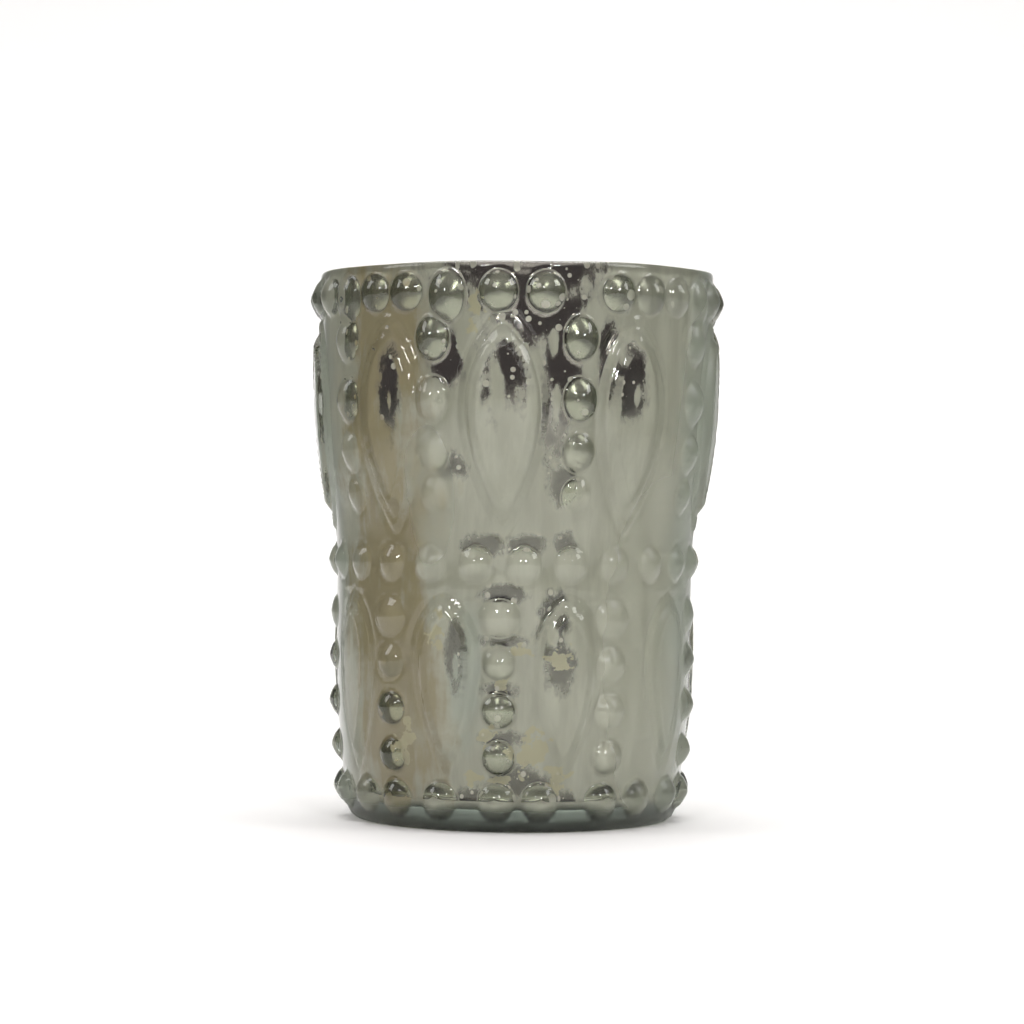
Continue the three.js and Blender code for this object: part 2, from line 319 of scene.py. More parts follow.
def linear(hex_colour):
    """An sRGB hex colour as linear red, green, blue and alpha."""
    shares = [int(hex_colour[i : i + 2], 16) / 255 for i in (1, 3, 5)]
    return [c / 12.92 if c <= 0.04045 else ((c + 0.055) / 1.055) ** 2.4 for c in shares] + [1]


def add(tree, kind, inputs=(), **settings):
    """Adds a node, sets its settings, and gives each input a value or a link. A node links by its first output."""
    made = tree.nodes.new(kind)
    for name, value in settings.items():
        setattr(made, name, value)
    for name, value in dict(inputs).items():
        if isinstance(value, bpy.types.Node):
            value = next(output for output in value.outputs if output.enabled)
        if isinstance(value, bpy.types.NodeSocket):
            tree.links.new(value, made.inputs[name])
        else:
            made.inputs[name].default_value = value
    return made


def new_material(name):
    material = bpy.data.materials.new(name)
    material.use_nodes = True
    tree = material.node_tree
    tree.nodes.clear()
    return material, tree


# Soda-lime glass, blown and fire polished: water clear through the wall, green through the thick foot,
# with a bright smooth skin that years of handling have dulled in places.
SMEAR, RIPPLE = 14.3, 3.33  # mm across: the smears of handling, and the ripples that the mould leaves in the skin
FROST_ROUGHNESS = 0.34
moulded_glass, tree = new_material("blown_soda_lime_glass")
place = add(tree, "ShaderNodeTexCoord").outputs["Object"]
smears = add(
    tree, "ShaderNodeTexNoise", {"Vector": place, "Scale": 1 / (SMEAR * MM), "Detail": 4, "Roughness": 0.6},
)
dulling = add(
    tree, "ShaderNodeMapRange",
    {"Value": smears.outputs["Fac"], "From Min": 0.45, "From Max": 0.75, "To Min": 0.015, "To Max": 0.1},
)
# Standing and sliding has scuffed the lowest 5 mm.
height_up = add(tree, "ShaderNodeSeparateXYZ", {"Vector": place}).outputs["Z"]
scuffed = add(
    tree, "ShaderNodeMapRange",
    {"Value": height_up, "From Min": 0.0028, "From Max": 0.0052, "To Min": 0.42, "To Max": 0},
    interpolation_type="SMOOTHSTEP",
)
frosted = add(
    tree, "ShaderNodeMath",
    {0: add(tree, "ShaderNodeAttribute", attribute_name="frost").outputs["Fac"], 1: FROST_ROUGHNESS},
    operation="MULTIPLY",
)
dulled = add(
    tree, "ShaderNodeMath",
    {0: dulling, 1: add(tree, "ShaderNodeMath", {0: scuffed, 1: frosted}, operation="MAXIMUM")},
    operation="MAXIMUM",
)
ripple = add(tree, "ShaderNodeTexNoise", {"Vector": place, "Scale": 1 / (RIPPLE * MM), "Detail": 2})
skin = add(tree, "ShaderNodeBump", {"Height": ripple.outputs["Fac"], "Strength": 0.35, "Distance": 0.00004})
glass_shader = add(
    tree, "ShaderNodeBsdfPrincipled",
    {
        "Base Color": linear("#F4F7F0"),
        "Transmission Weight": 1,
        "IOR": 1.51,
        "Roughness": dulled,
        "Normal": skin,
    },
)
tint = add(tree, "ShaderNodeVolumeAbsorption", {"Color": linear("#B4C2B8"), "Density": 35})
add(tree, "ShaderNodeOutputMaterial", {"Surface": glass_shader, "Volume": tint})
tumbler.data.materials.append(moulded_glass)

# ---------------------------------------------------------------- silvering
# A film of silver poured into the well to the brim and backed by lacquer, the way a mirror is made. It has been
# aged: etched to a milky matt over most of the wall, left bright in patches, foxed with pale specks, and stained.

# The edge that wraps over the rim's inner rounding, as radius and distance under the rim: next to the glass, and
# on the lacquered side.
over_rim = [(32.9, 0.16), (32.5, 0.17), (32.1, 0.22), (31.86, 0.3), (31.8, 0.36), (31.8, 0.4), (31.8, 1.2)]
under_lacquer = [(32.85, 0.01), (32.4, 0), (31.85, 0.03), (31.6, 0.15), (31.52, 0.4)]


def rim_rings(outline, points_round):
    """Rings that follow the rim's slope, from (radius, how far under it)."""
    dip = rim_dip(points_round)
    return [(np.full(points_round, float(radius)), HEIGHT - drop - dip) for radius, drop in outline]


film_back = rim_rings(over_rim, FINE) + well_rings(WELL_TOP, 0, FINE, FINE_STEP)
film_front = rim_rings(under_lacquer, COARSE) + well_rings(WELL_TOP, FILM, COARSE, COARSE_STEP)
film = turned_piece("silver_film", film_back[::-1] + film_front, (FLOOR_TOP, FLOOR_TOP + FILM))
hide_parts("silvered_lining")
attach(film, "holder")

# What has happened to the film, as soft ovals: angle from the front, height, half width and half height.
# First where it is still a bright mirror, and the matt islands that the etch left inside those patches.
BRIGHT_SPOTS = [
    (1, 95, 31, 11), (8, 86, 18, 7), (14, 79, 8, 11), (-4, 77, 9, 9), (28, 79, 5, 9), (36, 75, 6, 9),
    (-39, 73, 5, 9), (-21, 79, 7, 8), (12, 69, 6, 8), (15, 58, 6, 4), (-20, 61, 6, 3), (-10, 47.8, 8, 2.4),
    (4, 47.8, 8, 2.4), (17, 48, 5, 3), (-3, 39.7, 11, 2), (13, 35, 7, 6), (15, 28, 7, 5), (-19, 30, 4, 7),
    (-4, 32, 8, 1.8), (-5, 23.8, 8, 1.8), (-5, 15.8, 9, 1.7), (3, 8.5, 14, 3), (-15, 5, 9, 3), (18, 5, 8, 3),
    (122, 90, 38, 11), (-124, 92, 40, 12), (112, 74, 12, 12), (-92, 76, 8, 12), (156, 70, 9, 14), (175, 10, 34, 8),
    (92, 26, 8, 12), (-98, 22, 8, 12), (-145, 56, 12, 12), (-140, 30, 8, 12), (140, 34, 9, 12),
]
ETCHED_SPOTS = [
    (-5.5, 75, 3, 7), (-16, 82, 2, 4), (11, 81, 2, 3.4), (23, 85, 3, 4), (12, 70, 2, 5), (29, 78, 2, 4),
    (37, 73, 1.8, 2.6), (-39, 72, 1.4, 3), (13, 33, 2, 3), (-19, 28, 1.4, 3),
]
ETCH_BITE = 1.2
# Where the film behind the crowns of the beads has stayed bright.
POLISHED_BEADS = [
    (-20, 92, 95, 22), (19, 78, 26, 22), (-57, 78, 14, 14), (-5, 5, 95, 9), (-6, 15, 26, 18), (-43, 14, 30, 17),
    (120, 88, 60, 20), (-120, 88, 60, 20), (180, 12, 90, 16),
]
# Where it is stained tan, where it is cooler, and where the lacquer has flaked.
TAN_SPOTS = [
    (-46, 36, 24, 78), (-42, 80, 18, 20), (-46, 16, 26, 30), (-33, 22, 9, 24), (136, 52, 30, 60), (-150, 70, 24, 40),
]
COOL_SPOTS = [(78, 50, 26, 80), (-82, 50, 18, 80), (-15, 26, 9, 16), (178, 40, 26, 50)]
FLAKE_SPOTS = [
    (-9, 16.3, 3.4, 2.2), (-13, 9.4, 4.4, 1.8), (-39, 14.5, 4, 4), (-4, 9, 5, 1.4), (6, 13.5, 7, 4), (15, 29, 4, 2.6),
    (2, 30, 5, 1.6), (-12, 87, 3.4, 4.6), (-26, 34, 3, 4.4), (16, 9, 6, 2.2),
    (-4, 24.6, 3, 1.6), (150, 17, 9, 5), (-110, 80, 14, 8), (110, 40, 10, 8),
]

film_angle, film_radius, film_height = ring_places(film_back[::-1] + film_front)
on_wall = film_height > FLOOR_TOP + CORNER
lacquered = np.arange(len(film_angle)) >= sum(len(radii) for radii, _ in film_back)
# Painted shade: seen through the foot and the rim it is a dull dark grey green, standing in for the shade of the
# thick foot and the rim's edge, and this painted shade is paler round the foot's sides and back.
foot_painted_shade = smooth(FLOOR_TOP + CORNER + 0.3, FLOOR_TOP, film_height)
foot_painted_shade *= 1 - 0.85 * smooth(32, 62, np.abs(film_angle))
rim_painted_shade = smooth(31.84, 32.1, film_radius) * (film_height > HEIGHT - 1.3)
_, film_crown, film_slope = mould(film_angle, film_height)
left_bright = soft_spots(BRIGHT_SPOTS, film_angle, film_height)
left_bright -= ETCH_BITE * np.clip(soft_spots(ETCHED_SPOTS, film_angle, film_height), 0, 1)
WEAR = {
    "bright": np.where(on_wall, left_bright, -0.4),
    "polished": soft_spots(POLISHED_BEADS, film_angle, film_height),
    "bead": np.where(on_wall, film_crown, -1),
    "slope": np.where(on_wall, film_slope, 0),
    "tan": soft_spots(TAN_SPOTS, film_angle, film_height),
    "cool": soft_spots(COOL_SPOTS, film_angle, film_height),
    "flake": np.where(on_wall, soft_spots(FLAKE_SPOTS, film_angle, film_height), -1),
    "lacquer": lacquered.astype(float),
    # Painted shade under the well's floor and at the rim's edge, on the side next to the glass.
    "underside": np.where(lacquered, 0, np.maximum(foot_painted_shade, rim_painted_shade)),
}
for name, values in WEAR.items():
    keep_values(film, name, values)

# Wet silvering, etched and foxed: a dark, sharp mirror where the silver is whole, and a satin grey green where
# the etch has bitten, which looks deep because it lies behind clear glass.
RUN_WIDTH, STREAK_WIDTH, CLOUD_WIDTH = 2.94, 2.94, 9.09  # mm across: runs of the etch, streaks and stains
SPECK_SPACING, FLAKE_WIDTH = 2.38, 2  # mm
silvering, tree = new_material("aged_silvering")
wear = {name: add(tree, "ShaderNodeAttribute", attribute_name=name).outputs["Fac"] for name in WEAR}
place = add(tree, "ShaderNodeTexCoord").outputs["Object"]
in_mm = add(tree, "ShaderNodeVectorMath", {0: place, "Scale": 1000}, operation="SCALE").outputs["Vector"]

# The etch ran down as it bit, so the edges of the bright patches are ragged, and longer than wide.
run_place = add(tree, "ShaderNodeVectorMath", {0: in_mm, 1: (1, 1, 0.55)}, operation="MULTIPLY").outputs["Vector"]
ragged = add(
    tree, "ShaderNodeTexNoise", {"Vector": run_place, "Scale": 1 / RUN_WIDTH, "Detail": 6, "Roughness": 0.66},
)
ragged_lift = add(
    tree, "ShaderNodeMapRange",
    {"Value": ragged.outputs["Fac"], "From Min": 0.3, "From Max": 0.7, "To Min": -0.42, "To Max": 0.3},
)
patches = add(
    tree, "ShaderNodeMapRange",
    {
        "Value": add(tree, "ShaderNodeMath", {0: wear["bright"], 1: ragged_lift}, operation="ADD"),
        "From Min": -0.08,
        "From Max": 0.46,
    },
    interpolation_type="SMOOTHSTEP",
)
patches = add(
    tree, "ShaderNodeMath",
    {
        0: patches,
        1: add(
            tree, "ShaderNodeMapRange",
            {"Value": wear["slope"], "From Min": 0.1, "From Max": 0.8, "To Min": 1, "To Max": 0.15},
            interpolation_type="SMOOTHSTEP",
        ),
    },
    operation="MULTIPLY",
)
# It pools on the petals' slopes and in the groove round each bead, and leaves the beads of some rows bright.
on_crown = add(
    tree, "ShaderNodeMapRange",
    {"Value": wear["bead"], "From Min": 0.06, "From Max": 0.3},
    interpolation_type="SMOOTHSTEP",
)
crown = add(
    tree, "ShaderNodeMath",
    {
        0: on_crown,
        1: add(
            tree, "ShaderNodeMapRange",
            {"Value": wear["polished"], "From Min": 0, "From Max": 0.55},
            interpolation_type="SMOOTHSTEP",
        ),
    },
    operation="MULTIPLY",
)
groove = add(
    tree, "ShaderNodeMath",
    {
        0: add(
            tree, "ShaderNodeMapRange",
            {"Value": wear["bead"], "From Min": -0.14, "From Max": -0.02},
            interpolation_type="SMOOTHSTEP",
        ),
        1: add(
            tree, "ShaderNodeMapRange",
            {"Value": wear["bead"], "From Min": 0.12, "From Max": 0.03},
            interpolation_type="SMOOTHSTEP",
        ),
    },
    operation="MULTIPLY",
)
bright = add(tree, "ShaderNodeMath", {0: patches, 1: crown}, operation="MAXIMUM")
bright = add(
    tree, "ShaderNodeMath",
    {
        0: bright,
        1: add(
            tree, "ShaderNodeMapRange",
            {"Value": wear["bead"], "From Min": 0.06, "From Max": 0.3, "To Min": 1, "To Max": 0.72},
            interpolation_type="SMOOTHSTEP",
        ),
    },
    operation="MULTIPLY",
)
bright = add(
    tree, "ShaderNodeMath",
    {
        0: bright,
        1: add(
            tree, "ShaderNodeMapRange",
            {"Value": groove, "To Min": 1, "To Max": 0.45},
            interpolation_type="SMOOTHSTEP",
        ),
    },
    operation="MULTIPLY",
)

# Foxing: round pale specks about a millimetre across, where the etch has bitten through bright silver.
axes = add(tree, "ShaderNodeSeparateXYZ", {"Vector": in_mm})
turn = add(
    tree, "ShaderNodeMath",
    {0: axes.outputs["X"], 1: add(tree, "ShaderNodeMath", {0: axes.outputs["Y"], 1: -1}, operation="MULTIPLY")},
    operation="ARCTAN2",
)
unrolled = {"X": add(tree, "ShaderNodeMath", {0: turn, 1: MEAN_R}, operation="MULTIPLY"), "Y": axes.outputs["Z"]}
speck_place = add(tree, "ShaderNodeCombineXYZ", unrolled).outputs["Vector"]
cells = add(
    tree, "ShaderNodeTexVoronoi", {"Vector": speck_place, "Scale": 1 / SPECK_SPACING}, voronoi_dimensions="2D",
)
cell_pick = add(tree, "ShaderNodeSeparateColor", {"Color": cells.outputs["Color"]})
speck_size = add(
    tree, "ShaderNodeMapRange",
    {"Value": cell_pick.outputs["Red"], "From Min": 0.3, "From Max": 1, "To Min": 0.04, "To Max": 0.27},
)
speck_here = add(
    tree, "ShaderNodeMapRange",
    {"Value": cell_pick.outputs["Green"], "From Min": 0.12, "From Max": 0.13},
    interpolation_type="SMOOTHSTEP",
)
speck_edge = add(tree, "ShaderNodeMath", {0: speck_size, 1: cells.outputs["Distance"]}, operation="SUBTRACT")
specks = add(
    tree, "ShaderNodeMath",
    {
        0: add(
            tree, "ShaderNodeMapRange",
            {"Value": speck_edge, "From Min": 0, "From Max": 0.04},
            interpolation_type="SMOOTHSTEP",
        ),
        1: speck_here,
    },
    operation="MULTIPLY",
)

# The matt film: grey green, tan where it is stained, cooler at the sides, with streaks down the wall.
streak_place = add(tree, "ShaderNodeVectorMath", {0: in_mm, 1: (1, 1, 0.13)}, operation="MULTIPLY")
streaks = add(
    tree, "ShaderNodeTexNoise",
    {"Vector": streak_place, "Scale": 1 / STREAK_WIDTH, "Detail": 4, "Roughness": 0.6},
)
clouds = add(
    tree, "ShaderNodeTexNoise", {"Vector": in_mm, "Scale": 1 / CLOUD_WIDTH, "Detail": 4, "Roughness": 0.6},
)
cloudy = add(
    tree, "ShaderNodeMapRange",
    {"Value": clouds.outputs["Fac"], "From Min": 0.35, "From Max": 0.65, "To Min": -0.22, "To Max": 0.22},
)
matt = add(
    tree, "ShaderNodeMix",
    {
        "Factor": add(
            tree, "ShaderNodeMapRange",
            {"Value": streaks.outputs["Fac"], "From Min": 0.35, "From Max": 0.65},
            interpolation_type="SMOOTHSTEP",
        ),
        6: linear("#C8C6B6"),
        7: linear("#D6D4C5"),
    },
    data_type="RGBA",
)
matt = add(
    tree, "ShaderNodeMix",
    {
        "Factor": add(
            tree, "ShaderNodeMapRange",
            {
                "Value": add(tree, "ShaderNodeMath", {0: wear["cool"], 1: cloudy}, operation="ADD"),
                "From Min": 0.05,
                "From Max": 0.7,
                "To Max": 0.6,
            },
            interpolation_type="SMOOTHSTEP",
        ),
        6: matt,
        7: linear("#C2CAC0"),
    },
    data_type="RGBA",
)
streaky = add(
    tree, "ShaderNodeMapRange",
    {"Value": streaks.outputs["Fac"], "From Min": 0.35, "From Max": 0.65, "To Min": -0.25, "To Max": 0.25},
)
tan = add(
    tree, "ShaderNodeMapRange",
    {
        "Value": add(
            tree, "ShaderNodeMath",
            {0: add(tree, "ShaderNodeMath", {0: wear["tan"], 1: cloudy}, operation="ADD"), 1: streaky},
            operation="ADD",
        ),
        "From Min": 0.0,
        "From Max": 0.6,
        "To Max": 0.9,
    },
    interpolation_type="SMOOTHSTEP",
)
matt = add(tree, "ShaderNodeMix", {"Factor": tan, 6: matt, 7: linear("#B2A37F")}, data_type="RGBA")

# Cream flakes of lacquer that show where the silver has lifted.
flaking = add(
    tree, "ShaderNodeTexNoise", {"Vector": in_mm, "Scale": 1 / FLAKE_WIDTH, "Detail": 3, "Roughness": 0.55},
)
flake_lift = add(
    tree, "ShaderNodeMapRange",
    {"Value": flaking.outputs["Fac"], "From Min": 0.38, "From Max": 0.68, "To Min": -0.75, "To Max": 0.45},
)
flakes = add(
    tree, "ShaderNodeMapRange",
    {
        "Value": add(tree, "ShaderNodeMath", {0: wear["flake"], 1: flake_lift}, operation="ADD"),
        "From Min": 0.0,
        "From Max": 0.12,
        "To Max": 0.8,
    },
    interpolation_type="SMOOTHSTEP",
)
matt = add(tree, "ShaderNodeMix", {"Factor": flakes, 6: matt, 7: linear("#D4CCA8")}, data_type="RGBA")
matt = add(
    tree, "ShaderNodeMix",
    {
        "Factor": add(tree, "ShaderNodeMath", {0: specks, 1: patches}, operation="MULTIPLY"),
        6: matt,
        7: linear("#DFDACE"),
    },
    data_type="RGBA",
)
# Painted shade: the foot and the rim's edge take a dark grey green in place of the silver.
matt = add(tree, "ShaderNodeMix", {"Factor": wear["underside"], 6: matt, 7: linear("#6E7666")}, data_type="RGBA")

# The mirror shows where nothing lies over it. It is painted darker low down, a painted shade for the soft shadows
# there, and is greener behind the beads.
mirror = add(
    tree, "ShaderNodeMath",
    {
        0: bright,
        1: add(
            tree, "ShaderNodeMath",
            {0: 1, 1: add(tree, "ShaderNodeMath", {0: specks, 1: flakes}, operation="MAXIMUM")},
            operation="SUBTRACT",
        ),
    },
    operation="MULTIPLY",
)
# No mirror where the painted shade lies.
mirror = add(
    tree, "ShaderNodeMath",
    {0: mirror, 1: add(tree, "ShaderNodeMath", {0: 1, 1: wear["underside"]}, operation="SUBTRACT")},
    operation="MULTIPLY",
)
# Painted shade: the mirror's colour darkens below about 76 mm.
low_painted_shade = add(
    tree, "ShaderNodeMapRange",
    {"Value": axes.outputs["Z"], "From Min": 60, "From Max": 76},
    interpolation_type="SMOOTHSTEP",
)
mirror_colour = add(
    tree, "ShaderNodeMix",
    {"Factor": low_painted_shade, 6: linear("#64625A"), 7: linear("#8C8682")},
    data_type="RGBA",
)
mirror_colour = add(
    tree, "ShaderNodeMix",
    {"Factor": on_crown, 6: mirror_colour, 7: linear("#868976")},
    data_type="RGBA",
)
silver = add(tree, "ShaderNodeMix", {"Factor": mirror, 6: matt, 7: mirror_colour}, data_type="RGBA")
# On the side of the well the lacquer lies over the silver, browner and less sharp.
film_colour = add(
    tree, "ShaderNodeMix",
    {
        "Factor": add(tree, "ShaderNodeMath", {0: wear["lacquer"], 1: 0.6}, operation="MULTIPLY"),
        6: silver,
        7: linear("#8B8578"),
    },
    data_type="RGBA",
)
glossy = add(
    tree, "ShaderNodeMath",
    {
        0: mirror,
        1: add(
            tree, "ShaderNodeMapRange",
            {"Value": wear["lacquer"], "To Min": 1, "To Max": 0.7},
            interpolation_type="SMOOTHSTEP",
        ),
    },
    operation="MULTIPLY",
)
film_bump = add(tree, "ShaderNodeBump", {"Height": film_colour, "Strength": 0.1, "Distance": 0.00003})
film_shader = add(
    tree, "ShaderNodeBsdfPrincipled",
    {
        "Base Color": film_colour,
        "Metallic": add(tree, "ShaderNodeMapRange", {"Value": glossy, "To Min": 0.25}),
        "Roughness": add(tree, "ShaderNodeMapRange", {"Value": glossy, "To Min": 0.55, "To Max": 0.07}),
        "Normal": film_bump,
    },
)
add(tree, "ShaderNodeOutputMaterial", {"Surface": film_shader})
film.data.materials.append(silvering)

# ---------------------------------------------------------------- tealight cup
# A thin cup drawn from aluminium sheet, which leaves fine pleats up its side, with its edge rolled outwards and
# a stiffening ring pressed into its base. It stands loose on the silvered floor.

cup_low, cup_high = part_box("tealight_cup")
CUP_FOOT, CUP_TOP = cup_low[2] / MM, cup_high[2] / MM
CUP_R = 19.1
SHEET = 0.2
CURL = 0.28  # the radius of the rolled edge
PLEATS, PLEAT_DEPTH = 60, 0.03

curl_r, curl_z = cup_high[0] / MM - CURL, CUP_TOP - CUP_FOOT - CURL
# The outside, as radius and height over the cup's foot: the base with its stiffening ring, the corner and the side.
outside = [(6, 0), (13.6, 0), (14.0, 0.12), (14.5, 0.25), (15.1, 0.25), (15.6, 0.12), (16, 0), (17.7, 0)]
outside += [(17.9 + 1.1 * math.sin(t), 1.1 - 1.1 * math.cos(t)) for t in np.linspace(0.2, math.pi / 2, 7)]
outside += [(CUP_R, z) for z in (2.5, 5, 8, 11, 13, 14.3)]
curl = [(curl_r + CURL * math.cos(t), curl_z + CURL * math.sin(t)) for t in np.linspace(-1.7, math.pi, 15)]
inside = [(radius - SHEET, z + SHEET * (z < 1)) for radius, z in outside[::-1]]
cup_rings = []
for radius, z in outside + curl + inside:
    radii, heights = even_ring(radius, CUP_FOOT + z, FINE)
    pleat = PLEAT_DEPTH * np.sin(PLEATS * ring_angles(FINE)) * smooth(1.2, 3, z) * smooth(14.8, 13, z)
    cup_rings.append((radii + pleat, heights))
cup = turned_piece("drawn_cup", cup_rings, (CUP_FOOT, CUP_FOOT + SHEET))
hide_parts("tealight_cup")
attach(cup, "tealight")

# Mill-finish aluminium foil stock, drawn dry: bright grey, with fine lines up the side and a few soft scuffs.
aluminium, tree = new_material("drawn_aluminium")
place = add(tree, "ShaderNodeTexCoord").outputs["Object"]
in_mm = add(tree, "ShaderNodeVectorMath", {0: place, "Scale": 1000}, operation="SCALE").outputs["Vector"]
line_place = add(tree, "ShaderNodeVectorMath", {0: in_mm, 1: (1, 1, 0.05)}, operation="MULTIPLY").outputs["Vector"]
# Real draw lines are about 0.05 mm apart. These are coarser, so that they show.
LINE_SPACING, SCUFF = 0.3125, 2  # mm
draw_lines = add(
    tree, "ShaderNodeTexNoise", {"Vector": line_place, "Scale": 1 / LINE_SPACING, "Detail": 3, "Roughness": 0.6},
)
scuffs = add(tree, "ShaderNodeTexNoise", {"Vector": in_mm, "Scale": 1 / SCUFF, "Detail": 5, "Roughness": 0.65})
cup_colour = add(
    tree, "ShaderNodeMix",
    {
        "Factor": add(
            tree, "ShaderNodeMapRange",
            {"Value": scuffs.outputs["Fac"], "From Min": 0.35, "From Max": 0.7},
            interpolation_type="SMOOTHSTEP",
        ),
        6: linear("#D2D4D5"),
        7: linear("#C4C6C8"),
    },
    data_type="RGBA",
)
cup_bump = add(tree, "ShaderNodeBump", {"Height": draw_lines.outputs["Fac"], "Strength": 0.4, "Distance": 0.00003})
cup_shader = add(
    tree, "ShaderNodeBsdfPrincipled",
    {
        "Base Color": cup_colour,
        "Metallic": 1,
        "Roughness": add(
            tree, "ShaderNodeMapRange",
            {"Value": scuffs.outputs["Fac"], "From Min": 0.3, "From Max": 0.7, "To Min": 0.22, "To Max": 0.3},
            interpolation_type="SMOOTHSTEP",
        ),
        "Normal": cup_bump,
    },
)
add(tree, "ShaderNodeOutputMaterial", {"Surface": cup_shader})
cup.data.materials.append(aluminium)

# ---------------------------------------------------------------- wick sustainer
# A plate stamped from tinned steel, with a ribbed rim and a collar drawn up round the wick and crimped on it
# from four sides. It sits on the cup's floor under the wax.

plate_low, plate_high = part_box("wick_sustainer")
PLATE_Z = plate_low[2] / MM
PLATE_R = plate_high[0] / MM
COLLAR = (plate_high[2] - plate_low[2]) / MM
BORE, BORE_FLOOR = 0.82, 0.28
CRIMP = 0.05  # how far the collar is pressed in on its four sides
PLATE_POINTS = 96

# The plate and collar, as radius and height: out along the underside, back over the top, up the collar and down
# its bore.
stamped = [(3, 0), (5.6, 0), (6.2, 0.06), (6.8, 0), (PLATE_R - 0.12, 0), (PLATE_R, 0.12), (PLATE_R - 0.12, 0.24)]
stamped += [(6.9, 0.24), (6.2, 0.36), (5.5, 0.24), (2.2, 0.24), (1.7, 0.34), (1.45, 0.7)]
stamped += [(1.4, 1.4), (1.3, 2.2), (1.24, COLLAR - 0.15), (1.14, COLLAR), (0.95, COLLAR), (BORE, COLLAR - 0.12)]
stamped += [(BORE, 1.4), (BORE, 0.36), (0.5, BORE_FLOOR)]
plate_rings = []
for radius, z in stamped:
    radii, heights = even_ring(radius, PLATE_Z + z, PLATE_POINTS)
    crimp = CRIMP * np.cos(4 * ring_angles(PLATE_POINTS)) * smooth(1, 2, z) * (radius > 1)
    plate_rings.append((radii + crimp, heights))
plate = turned_piece("stamped_plate", plate_rings, (PLATE_Z, PLATE_Z + BORE_FLOOR))
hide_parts("wick_sustainer")
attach(plate, "tealight")

# Tinplate: a thin bright coat of tin on steel, with the pale and dark grains that tin freezes into.
TIN_GRAIN = 1  # mm across
tinplate, tree = new_material("tinned_steel")
place = add(tree, "ShaderNodeTexCoord").outputs["Object"]
grains = add(tree, "ShaderNodeTexVoronoi", {"Vector": place, "Scale": 1 / (TIN_GRAIN * MM)})
grain_pick = add(tree, "ShaderNodeSeparateColor", {"Color": grains.outputs["Color"]}).outputs["Red"]
tin_shader = add(
    tree, "ShaderNodeBsdfPrincipled",
    {
        "Base Color": add(
            tree, "ShaderNodeMix",
            {"Factor": grain_pick, 6: linear("#C2C3C4"), 7: linear("#A6A8AB")},
            data_type="RGBA",
        ),
        "Metallic": 1,
        "Roughness": add(
            tree, "ShaderNodeMapRange",
            {"Value": grain_pick, "To Min": 0.24, "To Max": 0.4},
        ),
    },
)
add(tree, "ShaderNodeOutputMaterial", {"Surface": tin_shader})
plate.data.materials.append(tinplate)

# ---------------------------------------------------------------- wick
# Six cotton yarns braided over a core and dipped in wax. It stands in the plate's collar, which is crimped on it,
# and leans over at its tip.

wick_low, wick_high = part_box("wick")
WICK_Z, WICK_TOP = wick_low[2] / MM, wick_high[2] / MM
LEAN, LEAN_FROM = 1.3, WICK_Z + 13.6
YARN, YARN_OUT, CORE = 0.2, 0.47, 0.36  # the yarns' radius, how far they lie off the middle, and the core's radius
BRAID_TURN = 4.2  # height of one turn of the braid
YARN_WEAVE = 0.05  # how far a yarn moves in and out as it passes under and over the others
TIP = 0.5  # the path stops this far under the top, which leaves room for the yarns' ends
WICK_STEPS = 110


def wick_middle(height):
    share = np.clip((height - LEAN_FROM) / (WICK_TOP - LEAN_FROM), 0, 1)
    return np.array([LEAN * share**1.7, 0, height])


def strand(path, radius, sides=8):
    """Points and faces of a closed round strand along a path that mostly rises."""
    points, faces = [], []
    headings = np.gradient(np.array(path), axis=0)
    for at, heading in zip(path, headings):
        side = np.cross(heading, (0, 1, 0))
        side /= np.linalg.norm(side)
        forward = np.cross(side, heading)
        forward /= np.linalg.norm(forward)
        for i in range(sides):
            turn = 2 * math.pi * i / sides
            points.append(at + radius * (math.cos(turn) * side + math.sin(turn) * forward))
    for ring in range(len(path) - 1):
        for i in range(sides):
            here, after = ring * sides + i, ring * sides + (i + 1) % sides
            faces.append([here, here + sides, after + sides, after])
    faces.append(list(range(sides)))
    faces.append([(len(path) - 1) * sides + i for i in reversed(range(sides))])
    return points, faces


wick_heights = np.linspace(WICK_Z + YARN, WICK_TOP - TIP, WICK_STEPS)
yarn_paths = [([wick_middle(height) for height in wick_heights], CORE)]
for yarn in range(6):
    way = 1 if yarn % 2 else -1
    path = []
    for height in wick_heights:
        turn = way * 2 * math.pi * height / BRAID_TURN + yarn * math.pi / 3
        out = YARN_OUT + YARN_WEAVE * way * math.sin(3 * turn)
        path.append(wick_middle(height) + out * np.array([math.sin(turn), -math.cos(turn), 0]))
    yarn_paths.append((path, YARN))
wick_points, wick_faces = [], []
for path, radius in yarn_paths:
    points, faces = strand(path, radius)
    wick_faces += [[len(wick_points) + i for i in face] for face in faces]
    wick_points += points
wick = new_piece("braided_wick", wick_points, wick_faces)
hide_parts("wick")
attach(wick, "tealight")

# Bleached cotton soaked in paraffin: cream, painted a little darker between the fibres as painted shade, with a soft
# waxy shine.
cotton, tree = new_material("waxed_cotton")
place = add(tree, "ShaderNodeTexCoord").outputs["Object"]
fibre_place = add(tree, "ShaderNodeVectorMath", {0: place, 1: (1, 1, 0.25)}, operation="MULTIPLY").outputs["Vector"]
